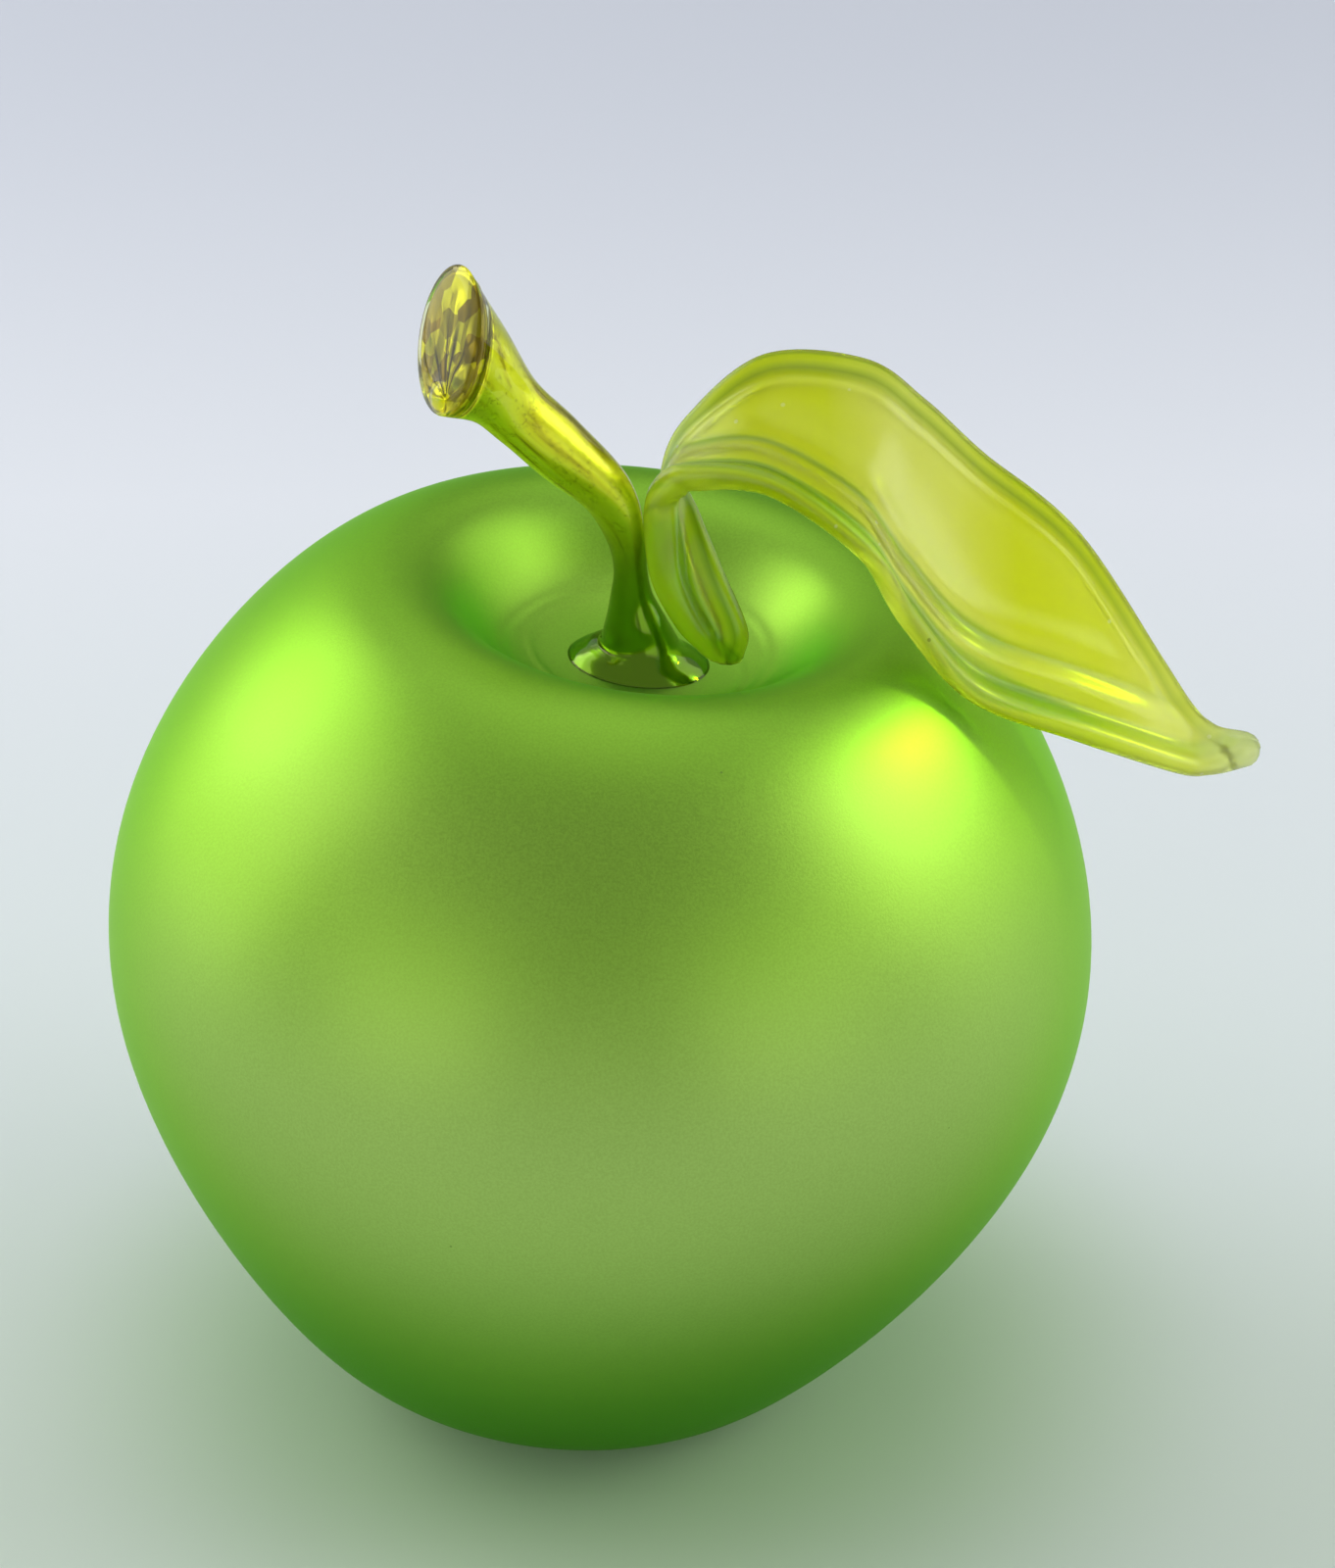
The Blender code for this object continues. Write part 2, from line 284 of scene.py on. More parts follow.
def satin_silvered_glass():
    material, tree = new_material("satin_silvered_glass")
    place = add_node(tree, "ShaderNodeTexCoord").outputs["Object"]
    grain = add_node(
        tree, "ShaderNodeTexNoise", Vector=place, Scale=1.0 / ETCH_GRAIN, Detail=2.0, Roughness=0.6
    )
    cloud = add_node(
        tree, "ShaderNodeTexNoise", Vector=place, Scale=1.0 / CLOUD_SIZE, Detail=2.0, Roughness=0.5
    )
    green = ramp(
        tree,
        cloud.outputs["Fac"],
        [(0.35, linear("#9ACC40")), (0.65, linear("#A1D148"))],
    )
    # Painted reflection: a paler, greyer belt, for the pale floor in front that the skin reflects.
    painted_pale_belt = add_node(
        tree,
        "ShaderNodeMixRGB",
        Fac=height_share(tree, place, PAINTED_BELT_TOP, PAINTED_BELT_MIDDLE),
        Color1=green,
        Color2=linear("#ADCE6A"),
    )
    # Painted shade: the green is painted deeper towards the base, for the shadowed floor it
    # reflects.
    painted_base_shade = add_node(
        tree,
        "ShaderNodeMixRGB",
        Fac=height_share(tree, place, PAINTED_SHADE_FULL_BELOW, PAINTED_BELT_MIDDLE),
        Color1=linear("#66A00C"),
        Color2=painted_pale_belt.outputs["Color"],
    )
    # Painted reflection: a deeper green round the dimple, which mirrors its own green.
    painted_dimple_green = add_node(
        tree,
        "ShaderNodeMixRGB",
        Fac=height_share(tree, place, PAINTED_DIMPLE_GREEN_FROM, PAINTED_DIMPLE_GREEN_FULL),
        Color1=painted_base_shade.outputs["Color"],
        Color2=linear("#94CB38"),
    )
    greened = painted_dimple_green.outputs["Color"]
    speckled = specks(tree, place, greened, DUST_SPACING, DUST_RADIUS, "#6E8F3C")
    grain_tone = ramp(
        tree, grain.outputs["Fac"], [(0.35, linear("#F0F2EA")), (0.65, linear("#FFFFFF"))]
    )
    etched = add_node(
        tree,
        "ShaderNodeMixRGB",
        {"blend_type": "MULTIPLY"},
        Fac=1.0,
        Color1=speckled,
        Color2=grain_tone,
    )
    rough = add_node(
        tree,
        "ShaderNodeMapRange",
        Value=grain.outputs["Fac"],
        From_Min=0.3,
        From_Max=0.7,
        To_Min=0.38,
        To_Max=0.47,
    )
    bump = add_node(
        tree, "ShaderNodeBump", Height=grain.outputs["Fac"], Strength=0.2, Distance=ETCH_DEPTH
    )
    shader = add_node(
        tree,
        "ShaderNodeBsdfPrincipled",
        Base_Color=etched.outputs["Color"],
        Metallic=1.0,
        Roughness=rough.outputs["Result"],
        Specular_Tint=linear("#AEFC78"),
        Coat_Weight=0.4,
        Coat_Roughness=0.55,
        Normal=bump.outputs["Normal"],
    )
    add_node(tree, "ShaderNodeOutputMaterial", Surface=shader.outputs["BSDF"])
    return material


# %% [markdown]
# ## Clear glass over yellow silvering
#
# The stem is a drawn tube of nearly clear yellow glass, fire-polished, so it is glossy.
# Its bore is silvered and yellow. The clear wall round the bright core is what gives the
# stem its thin pale outline, so wall and core are two pieces with two materials. At the
# foot both are painted green, a painted reflection of the apple's green seen through the
# thin foot, and the silvering there is glossy, so it looks deep and wet.

# %% Clear polished glass
# The heights between which the wall's painted green turns to clear, in metres
PAINTED_GREEN_TOP = 0.080
CLEAR_FROM = 0.090


def clear_polished_glass():
    material, tree = new_material("clear_polished_glass")
    place = add_node(tree, "ShaderNodeTexCoord").outputs["Object"]
    # Painted reflection: the wall is painted green at the foot, where the apple's green shows
    # through.
    painted_foot_green_tint = add_node(
        tree,
        "ShaderNodeMixRGB",
        Fac=height_share(tree, place, PAINTED_GREEN_TOP, CLEAR_FROM),
        Color1=linear("#A8D450"),
        Color2=linear("#FAFCC8"),
    )
    shader = add_node(
        tree,
        "ShaderNodeBsdfPrincipled",
        Base_Color=painted_foot_green_tint.outputs["Color"],
        Roughness=0.02,
        IOR=1.5,
        Specular_Tint=linear("#FFF8A8"),
        Transmission_Weight=1.0,
    )
    add_node(tree, "ShaderNodeOutputMaterial", Surface=shader.outputs["BSDF"])
    return material


# %% Yellow silvering
# Drawing pulls every flaw into a line about a millimetre wide and a centimetre long. The
# darker streaks stand partly for these flaws and partly for painted reflections, which the
# polished tube draws out along its length.
STREAK_WIDTH = 0.0011
STREAK_LENGTH = 0.014
CRACK_SIZE = 0.0011

# Heights at which the silvering turns from painted green to yellow and grows rougher, in metres
DULLS_FROM = 0.078
PAINTED_GREEN_FADES_FROM = 0.084
YELLOW_FULL = 0.0935


def yellow_silvering():
    material, tree = new_material("yellow_silvering")
    place = add_node(tree, "ShaderNodeTexCoord").outputs["Object"]
    flow = add_node(tree, "ShaderNodeAttribute", {"attribute_name": "flow"}).outputs["Vector"]
    drawn = add_node(
        tree,
        "ShaderNodeMapping",
        Vector=flow,
        Scale=(1.0 / STREAK_WIDTH, 1.0 / STREAK_WIDTH, 1.0 / STREAK_LENGTH),
    )
    flaw_and_reflection_streaks = add_node(
        tree, "ShaderNodeTexNoise", Vector=drawn.outputs["Vector"], Scale=1.0, Detail=2.0
    )
    # Partly painted reflection: the darker streaks stand for reflections along the tube as well as
    # flaws.
    yellow = ramp(
        tree,
        flaw_and_reflection_streaks.outputs["Fac"],
        [
            (0.32, linear("#B4AE18")),
            (0.39, linear("#ECEC2C")),
            (0.50, linear("#F8FF38")),
            (0.72, linear("#FAFF5C")),
        ],
    )
    cracks = add_node(
        tree, "ShaderNodeTexNoise", Vector=place, Scale=1.0 / CRACK_SIZE, Detail=4.0, Roughness=0.7
    )
    crack_lines = ramp(
        tree,
        cracks.outputs["Fac"],
        [
            (0.555, (1.0, 1.0, 1.0, 1.0)),
            (0.57, linear("#A6A438")),
            (0.585, (1.0, 1.0, 1.0, 1.0)),
        ],
    )
    flawed = add_node(
        tree,
        "ShaderNodeMixRGB",
        {"blend_type": "MULTIPLY"},
        Fac=1.0,
        Color1=yellow,
        Color2=crack_lines,
    )
    # Painted reflection: the silvering is painted green at the foot, where the apple's green shows
    # through.
    coloured = add_node(
        tree,
        "ShaderNodeMixRGB",
        Fac=height_share(tree, place, PAINTED_GREEN_FADES_FROM, YELLOW_FULL),
        Color1=linear("#A4BC34"),
        Color2=flawed.outputs["Color"],
    )
    rough = add_node(
        tree,
        "ShaderNodeMapRange",
        Value=height_share(tree, place, DULLS_FROM, YELLOW_FULL),
        To_Min=0.12,
        To_Max=0.26,
    )
    shader = add_node(
        tree,
        "ShaderNodeBsdfPrincipled",
        Base_Color=coloured.outputs["Color"],
        Metallic=0.8,
        Roughness=rough.outputs["Result"],
    )
    add_node(tree, "ShaderNodeOutputMaterial", Surface=shader.outputs["BSDF"])
    return material


# %% Crumpled silvering
# Where the painted shade lines of the folds lie round the end, as shares of a turn,
# and their half width
FOLD_SHADE_LINES = (0.34, 0.47, 0.58, 0.70)
FOLD_SHADE_WIDTH = 0.016

# The painted shade lines fade in between these distances along the piece, in metres
FOLD_SHADE_FROM = 0.0018
FOLD_SHADE_FULL = 0.0034

# The silver skin broke into flat facets about 2 mm across, each with its own shade.
FACET_SIZE = 0.0019


def fold_shade_stops(middle):
    """Ramp stops for one painted shade line between pale sides."""
    pale = (1.0, 1.0, 1.0, 1.0)
    painted_shade = linear("#2A1C06")
    return [
        (middle - FOLD_SHADE_WIDTH, pale),
        (middle - FOLD_SHADE_WIDTH / 2.0, painted_shade),
        (middle + FOLD_SHADE_WIDTH / 2.0, painted_shade),
        (middle + FOLD_SHADE_WIDTH, pale),
    ]


def crumpled_silvering():
    """The silvering at the nipped end, folded and burnt to olive and brown by the heat, with
    painted shade in the creases of its folds.
    """
    material, tree = new_material("crumpled_silvering")
    place = add_node(tree, "ShaderNodeTexCoord").outputs["Object"]
    facets = add_node(tree, "ShaderNodeTexVoronoi", Vector=place, Scale=1.0 / FACET_SIZE)
    shade = add_node(tree, "ShaderNodeSeparateXYZ", Vector=facets.outputs["Color"])
    olive = ramp(
        tree,
        shade.outputs["X"],
        [
            (0.0, linear("#7A6410")),
            (0.3, linear("#A09620")),
            (0.6, linear("#BEB92E")),
            (0.85, linear("#F6F22C")),
        ],
    )
    flow = add_node(tree, "ShaderNodeAttribute", {"attribute_name": "flow"}).outputs["Vector"]
    spokes = add_node(tree, "ShaderNodeSeparateXYZ", Vector=flow)
    turn = add_node(tree, "ShaderNodeMath", {"operation": "ARCTAN2"})
    tree.links.new(spokes.outputs["Y"], turn.inputs[0])
    tree.links.new(spokes.outputs["X"], turn.inputs[1])
    share = add_node(
        tree,
        "ShaderNodeMapRange",
        Value=turn.outputs["Value"],
        From_Min=-math.pi,
        From_Max=math.pi,
    )
    # Painted shade: dark lines along the creases of the folds.
    lines = ramp(
        tree,
        share.outputs["Result"],
        [stop for middle in FOLD_SHADE_LINES for stop in fold_shade_stops(middle)],
    )
    towards_lip = add_node(
        tree,
        "ShaderNodeMapRange",
        Value=spokes.outputs["Z"],
        From_Min=FOLD_SHADE_FROM,
        From_Max=FOLD_SHADE_FULL,
    )
    with_fold_shade = add_node(
        tree,
        "ShaderNodeMixRGB",
        {"blend_type": "MULTIPLY"},
        Fac=towards_lip.outputs["Result"],
        Color1=olive,
        Color2=lines,
    )
    shader = add_node(
        tree,
        "ShaderNodeBsdfPrincipled",
        Base_Color=with_fold_shade.outputs["Color"],
        Metallic=0.8,
        Specular_Tint=linear("#FFEA58"),
        Roughness=0.28,
    )
    add_node(tree, "ShaderNodeOutputMaterial", Surface=shader.outputs["BSDF"])
    return material


# %% [markdown]
# ## Satin glass of the leaf
#
# The leaf is solid yellow-green glass, lightly etched. Light passes through it and is
# blurred, so the pale room behind it shows as a soft glow. The colour is in the glass
# itself, so the thick rolled rims look deeper than the thin web. The rough glass gives the
# blur, an even absorption inside it gives the depth, and a little scatter just under the
# surface gives the milky skin of the etch.

# %% Satin leaf glass
# What the glass's depth does to its colour, by the distance from each edge as a share,
# with painted shade. The rolled rim is thick and greener, and the darker lines are
# painted shade, where each rim meets the web and along a fold of the near web.
NEAR_SIDE_TONES_AND_SHADE_LINES = (
    (0.00, "#EAF8B8"),
    (0.12, "#F0FAC0"),
    (0.24, "#CAE68C"),
    # Painted shade: the darker line where the near rim meets the web.
    (0.31, "#B2CA7A"),
    (0.38, "#F6FAE4"),
    (0.60, "#FFFFFF"),
    # Painted shade: a softer line along a fold of the web.
    (0.68, "#DDE4B4"),
    (0.78, "#FFFFFF"),
)
FAR_SIDE_TONES_AND_SHADE_LINE = (
    (0.00, "#E2ECC0"),
    (0.30, "#F2F8DC"),
    # Painted shade: the darker line where the far rim meets the web.
    (0.44, "#BAC890"),
    (0.58, "#FFFFFF"),
)

# How far from each edge the tones above reach, in metres
NEAR_SIDE_REACH = 0.010
FAR_SIDE_REACH = 0.004

# Along the leaf the web's yellow, as shares of the leaf's length, is partly painted light:
# it is painted darker and more olive on the arch, a painted shade of the dark apple seen
# through it, and pale in the middle, a painted sheen. It deepens again before the tip.
# A slow drift in the glass moves the borders by some millimetres.
LEAF_LENGTH = 0.086
WEB_WANDER = 0.012
WANDER_SIZE = 0.020
WEB_TONES_AND_PAINTED_LIGHT = (
    (0.26, "#F6FF60"),
    # Painted shade: the darker, olive arch.
    (0.33, "#E4EC14"),
    (0.41, "#E8F218"),
    # Painted sheen: the pale middle.
    (0.48, "#FBFF78"),
    (0.58, "#FBFF64"),
    (0.66, "#F0F800"),
    (0.76, "#F0F800"),
    (0.86, "#FBFF64"),
)

# The stalk is a little greener, and the rounded tip is nearly clear.
STALK_GREEN_REACH = 0.030
STALK_TONES = ((0.0, "#FAFFC8"), (0.5, "#FAFFDC"), (1.0, "#FFFFFF"))
TIP_REACH = 0.100
TIP_TONES = ((0.0, "#000000"), (0.77, "#000000"), (0.85, "#FFFFFF"))
TIP_PALES_FROM = 0.060
TIP_PALE_AT = 0.085

# Bubbles and dust in the glass, and the grain of its light etch, drawn large enough to show
BUBBLE_SPACING = 0.0034
BUBBLE_RADIUS = 0.00024
SEED_SPACING = 0.0075
SEED_RADIUS = 0.00022
LEAF_GRAIN = 0.0003
LEAF_ETCH_DEPTH = 0.00004


def across_band(tree, distance, reach, tones):
    """Colours that follow a distance, up to a reach in the same unit."""
    share = add_node(tree, "ShaderNodeMapRange", Value=distance, From_Max=reach)
    stops = [(place, linear(colour)) for place, colour in tones]
    return ramp(tree, share.outputs["Result"], stops)


def satin_leaf_glass():
    material, tree = new_material("satin_leaf_glass")
    place = add_node(tree, "ShaderNodeTexCoord").outputs["Object"]
    drift = add_node(
        tree, "ShaderNodeTexNoise", Vector=place, Scale=1.0 / WANDER_SIZE, Detail=2.0, Roughness=0.5
    )
    flow = add_node(tree, "ShaderNodeAttribute", {"attribute_name": "flow"}).outputs["Vector"]
    across = add_node(tree, "ShaderNodeSeparateXYZ", Vector=flow)
    wander = add_node(
        tree,
        "ShaderNodeMapRange",
        Value=drift.outputs["Fac"],
        To_Min=-WEB_WANDER,
        To_Max=WEB_WANDER,
    )
    along = add_node(
        tree,
        "ShaderNodeMapRange",
        Value=across.outputs["Z"],
        From_Min=wander.outputs["Result"],
        From_Max=LEAF_LENGTH,
    )
    web = across_band(tree, along.outputs["Result"], 1.0, WEB_TONES_AND_PAINTED_LIGHT)
    near_tones_and_shade = across_band(tree, across.outputs["X"], NEAR_SIDE_REACH, NEAR_SIDE_TONES_AND_SHADE_LINES)
    far_tones_and_shade = across_band(tree, across.outputs["Y"], FAR_SIDE_REACH, FAR_SIDE_TONES_AND_SHADE_LINE)
    rims = add_node(
        tree,
        "ShaderNodeMixRGB",
        {"blend_type": "MULTIPLY"},
        Fac=1.0,
        Color1=near_tones_and_shade,
        Color2=far_tones_and_shade,
    )
    thinning = add_node(
        tree,
        "ShaderNodeMapRange",
        Value=across.outputs["Z"],
        From_Min=TIP_PALES_FROM,
        From_Max=TIP_PALE_AT,
        To_Min=1.0,
        To_Max=0.25,
    )
    coloured = add_node(
        tree,
        "ShaderNodeMixRGB",
        {"blend_type": "MULTIPLY"},
        Fac=thinning.outputs["Result"],
        Color1=web,
        Color2=rims.outputs["Color"],
    )
    greened = add_node(
        tree,
        "ShaderNodeMixRGB",
        {"blend_type": "MULTIPLY"},
        Fac=1.0,
        Color1=coloured.outputs["Color"],
        Color2=across_band(tree, across.outputs["Z"], STALK_GREEN_REACH, STALK_TONES),
    )
    cleared = add_node(
        tree,
        "ShaderNodeMixRGB",
        Fac=across_band(tree, across.outputs["Z"], TIP_REACH, TIP_TONES),
        Color1=greened.outputs["Color"],
        Color2=linear("#F6FFC8"),
    )
    colour = cleared.outputs["Color"]
    bubbled = specks(tree, place, colour, BUBBLE_SPACING, BUBBLE_RADIUS, "#FFFFD8")
    bubbled = specks(tree, place, bubbled, SEED_SPACING, SEED_RADIUS, "#7E8218")
    grain = add_node(
        tree, "ShaderNodeTexNoise", Vector=place, Scale=1.0 / LEAF_GRAIN, Detail=3.0, Roughness=0.6
    )
    bump = add_node(
        tree,
        "ShaderNodeBump",
        Height=grain.outputs["Fac"],
        Strength=0.12,
        Distance=LEAF_ETCH_DEPTH,
    )
    shader = add_node(
        tree,
        "ShaderNodeBsdfPrincipled",
        Base_Color=bubbled,
        Roughness=0.24,
        IOR=1.45,
        Transmission_Weight=0.7,
        Subsurface_Weight=1.0,
        Subsurface_Radius=(1.0, 1.0, 0.25),
        Subsurface_Scale=0.003,
        Normal=bump.outputs["Normal"],
    )
    depth = add_node(
        tree, "ShaderNodeVolumeAbsorption", Color=linear("#DEF410"), Density=80.0
    )
    add_node(
        tree,
        "ShaderNodeOutputMaterial",
        Surface=shader.outputs["BSDF"],
        Volume=depth.outputs["Volume"],
    )
    return material


# %% [markdown]
# ## The apple
#
# The real apple is a bubble of glass, blown, turned and pushed in at the top. A profile
# spun round its axis gives the same shape. It could be sculpted from a sphere, but the
# spun profile keeps the one outline that the blower's tool gave it. The bubble leans a
# little, and its base was ground flat, which is a cut by a plane.

# %% Blow the apple
# The pieces' own lengths are in millimetres. Their points are turned to metres as they
# are made.
LEAN = Matrix.Rotation(math.radians(6.5), 3, "Y")
APPLE_OFFSET = Vector((-8.0, 0.0, 1.65))
DIMPLE_FLOOR = 73.8
APPLE_OUTLINE = (
    (0.0, DIMPLE_FLOOR),
    (5.0, DIMPLE_FLOOR),
    (13.0, 73.6),
    (18.0, 82.8),
    (29.3, 81.2),
    (44.2, 62.0),
    (48.2, 36.6),
    (29.0, 5.5),
    (20.5, -0.1),
    (10.0, -2.4),
    (0.0, -2.4),
)
OUTLINE_POINTS = 240
TURN_STEPS = 192
GROUND_EDGE = 0.3

# Creases that the dimple tool left: radius, width, height, and how far each ring wanders
CREASES = ((9.9, 0.25, 0.16, 0.8), (12.2, 0.40, 0.12, 0.6))
DIMPLE_ABOVE = 60.0
DIMPLE_RADIUS = 20.0
CREASES_AT_BACK = 0.35


def crease_dimple(shape):
    """Raise faint uneven rings on the dimple's floor, strongest towards the front."""
    for vert in shape.verts:
        radius = math.hypot(vert.co.x, vert.co.y) / MM
        if vert.co.z / MM < DIMPLE_ABOVE or radius > DIMPLE_RADIUS:
            continue
        turn = math.atan2(vert.co.y, vert.co.x)
        front = CREASES_AT_BACK + (1.0 - CREASES_AT_BACK) * (0.5 - 0.5 * math.sin(turn))
        for place, width, rise, wander in CREASES:
            ring = place + wander * math.sin(2.0 * turn + place)
            vert.co.z += rise * front * swell(radius, ring, width) * MM


def blow_apple(material):
    outline = drawn_curve(APPLE_OUTLINE, OUTLINE_POINTS)
    shape = bmesh.new()
    points = [shape.verts.new((radius * MM, 0.0, height * MM)) for radius, height in outline]
    lines = [shape.edges.new(pair) for pair in zip(points, points[1:])]
    bmesh.ops.spin(
        shape,
        geom=points + lines,
        cent=(0, 0, 0),
        axis=(0, 0, 1),
        angle=math.tau,
        steps=TURN_STEPS,
        use_merge=True,
    )
    bmesh.ops.remove_doubles(shape, verts=shape.verts[:], dist=0.000001)
    bmesh.ops.recalc_face_normals(shape, faces=shape.faces[:])
    crease_dimple(shape)
    bmesh.ops.rotate(shape, verts=shape.verts[:], cent=(0, 0, 0), matrix=LEAN)
    bmesh.ops.translate(shape, verts=shape.verts[:], vec=APPLE_OFFSET * MM)
    everything = shape.verts[:] + shape.edges[:] + shape.faces[:]
    cut = bmesh.ops.bisect_plane(
        shape, geom=everything, plane_co=(0, 0, 0), plane_no=(0, 0, -1), clear_outer=True
    )
    rim = [item for item in cut["geom_cut"] if isinstance(item, bmesh.types.BMEdge)]
    bmesh.ops.edgeloop_fill(shape, edges=rim)
    bmesh.ops.bevel(
        shape,
        geom=rim,
        offset=GROUND_EDGE * MM,
        offset_type="OFFSET",
        segments=3,
        profile=0.5,
        affect="EDGES",
        material=-1,
    )
    finish_piece(shape, "blown_apple", material, "apple_body")


blow_apple(satin_silvered_glass())

# %% [markdown]
# ## The stem
#
# A gob of hot glass was set in the dimple and drawn up and to the left, so it pooled at
# the foot, necked in, and widened to where the tool nipped it off at a slant. Rings of
# points are extruded along its route. The wall and the silvered core share the route.

# %% Draw the stem
# Where the stem's middle passes, and its radius there
STEM_STATIONS = (
    (0.8, 0.2, 76.1, 4.3),
    (0.6, 0.1, 77.4, 3.4),
    (0.4, 0.0, 79.0, 2.8),
    (0.1, -0.1, 81.6, 1.95),
    (0.0, -0.3, 84.6, 1.5),
    (-0.4, -0.6, 88.2, 1.85),
    (-2.2, -1.0, 92.6, 2.35),
    (-6.2, -2.0, 97.2, 2.75),
    (-9.6, -3.0, 101.2, 2.8),
    (-12.2, -3.7, 105.2, 3.9),
)
STEM_SIDES = 64
STEM_RINGS_PER_SPAN = 8
FOOT_OFFSET = (0.4, 0.3)
FOOT_WIDE_RADIUS = 6.6
FOOT_DEEP_RADIUS = 5.4
CUT_CENTRE = Vector((-15.2, -4.5, 108.4))
CUT_NORMAL = Vector((-0.82, -0.46, 0.35)).normalized()
CUT_LONG_AXIS = Vector((0.09, 0.50, 0.86))
CUT_LONG_RADIUS = 6.5
CUT_SHORT_RADIUS = 5.0
CUT_TILT_START = 0.55
UPRIGHT_SHARE = 0.15
DOME_HEIGHT = 0.6

# How many of the route's first rings the foot takes the place of
FOOT_BLEND = 5

# The foot's rings: height over the dimple's floor, and how far each has drawn in from the
# pool's edge to the stem. The hot foot fused to the apple, so its first ring lies below
# the floor and its edge thins out like a pool's.
FOOT_RINGS = (
    (-0.5, 0.0),
    (0.0, 0.0),
    (0.12, 0.06),
    (0.3, 0.14),
    (0.6, 0.28),
    (0.9, 0.46),
    (1.2, 0.64),
    (1.5, 0.82),
)


def on_apple(x, y, height):
    """Turn a place in the leaning apple's own frame into a place in the world."""
    return LEAN @ Vector((x, y, height)) + APPLE_OFFSET


def oval_axes(normal):
    """The two axes of an oval whose long axis follows the pinched end's long axis."""
    long_axis = (CUT_LONG_AXIS - CUT_LONG_AXIS.dot(normal) * normal).normalized()
    return long_axis, long_axis.cross(normal)


def oval_ring(centre, normal, long_radius, short_radius, sides=STEM_SIDES):
    """Points round an oval."""
    normal = Vector(normal).normalized()
    long_axis, short_axis = oval_axes(normal)
    ring = []
    for i in range(sides):
        angle = math.tau * i / sides
        along = long_radius * math.cos(angle) * long_axis
        across = short_radius * math.sin(angle) * short_axis
        ring.append(Vector(centre) + along + across)
    return ring


def stem_path():
    """Centre, normal, long radius, short radius and share at every ring of the stem."""
    axis = on_apple(0, 0, 1) - on_apple(0, 0, 0)
    end_radius = (CUT_LONG_RADIUS + CUT_SHORT_RADIUS) / 2.0
    stations = STEM_STATIONS + ((*CUT_CENTRE, end_radius),)
    path = smooth_through(stations, STEM_RINGS_PER_SPAN)
    rows = []
    for index, (x, y, z, radius) in enumerate(path):
        before = Vector(path[max(index - 1, 0)][:3])
        after = Vector(path[min(index + 1, len(path) - 1)][:3])
        along = (after - before).normalized()
        share = index / (len(path) - 1)
        upright = ease(UPRIGHT_SHARE, 0.0, share)
        tilt = ease(CUT_TILT_START, 1.0, share)
        normal = along.lerp(axis, upright).lerp(CUT_NORMAL, tilt).normalized()
        long_radius = radius + (CUT_LONG_RADIUS - end_radius) * tilt
        short_radius = radius + (CUT_SHORT_RADIUS - end_radius) * tilt
        rows.append((Vector((x, y, z)), normal, long_radius, short_radius, share))
    return rows


def foot_rings(skin):
    """The pooled foot, drawn in by a skin's thickness for the silvering inside it."""
    axis = on_apple(0, 0, 1) - on_apple(0, 0, 0)
    floor = on_apple(*FOOT_OFFSET, DIMPLE_FLOOR)
    neck, _, long_radius, short_radius, _ = stem_path()[FOOT_BLEND]
    aside = (neck - floor) - axis * (neck - floor).dot(axis)
    rings = []
    for height, drawn_in in FOOT_RINGS:
        centre = floor + axis * (height - skin) + aside * drawn_in
        deep = FOOT_DEEP_RADIUS + (long_radius - FOOT_DEEP_RADIUS) * drawn_in
        wide = FOOT_WIDE_RADIUS + (short_radius - FOOT_WIDE_RADIUS) * drawn_in
        rings.append(oval_ring(centre, axis, deep - skin, wide - skin))
    return rings


# %% Clear wall of the stem
LIP_FROM_EDGE = 1.5
LIP_CENTRE = CUT_CENTRE - oval_axes(CUT_NORMAL)[0] * (CUT_LONG_RADIUS - LIP_FROM_EDGE)
LIP_RISE = 0.8
LIP_RADIUS = 1.0
LIP_PIT = 0.6
LIP_PIT_RADIUS = 0.45

# The dome over the nipped end closes in rings of these sizes.
DOME_SIZES = (0.995, 0.98, 0.95, 0.91, 0.86, 0.8, 0.74, 0.68, 0.62, 0.55, 0.45, 0.35, 0.22, 0.1)


def end_rise(point, size):
    """How far the nipped end stands out: a low dome with one small pitted lip at its foot."""
    reach = (point - LIP_CENTRE).length
    lip = LIP_RISE * swell(reach, 0.0, LIP_RADIUS) - LIP_PIT * swell(reach, 0.0, LIP_PIT_RADIUS)
    return DOME_HEIGHT * math.sqrt(1.0 - size**4) + lip * ease(1.0, 0.9, size)


def draw_stem_wall(material):
    rings = foot_rings(0.0)
    for centre, normal, long_radius, short_radius, _ in stem_path()[FOOT_BLEND:]:
        rings.append(oval_ring(centre, normal, long_radius, short_radius))
    for size in DOME_SIZES:
        flat = oval_ring(CUT_CENTRE, CUT_NORMAL, CUT_LONG_RADIUS * size, CUT_SHORT_RADIUS * size)
        rings.append([point + CUT_NORMAL * end_rise(point, size) for point in flat])
    shape = sweep_rings(rings)
    finish_piece(shape, "stem_clear_wall", material, "stem")


draw_stem_wall(clear_polished_glass())


# %% Silvered core of the stem
CORE_END = 0.965
FOOT_SKIN = 0.12
WALL_AT_NECK = 0.3
WALL_AT_END = 0.5
WALL_THICKENS_FROM = 0.6


def draw_stem_core(material):
    rings = foot_rings(FOOT_SKIN)
    path = [row for row in stem_path()[FOOT_BLEND:] if row[4] < CORE_END]
    for centre, normal, long_radius, short_radius, share in path:
        wall = WALL_AT_NECK + (WALL_AT_END - WALL_AT_NECK) * ease(WALL_THICKENS_FROM, 1.0, share)
        rings.append(oval_ring(centre, normal, long_radius - wall, short_radius - wall))
    shape = sweep_rings(rings)
    finish_piece(shape, "stem_silvered_core", material)


draw_stem_core(yellow_silvering())

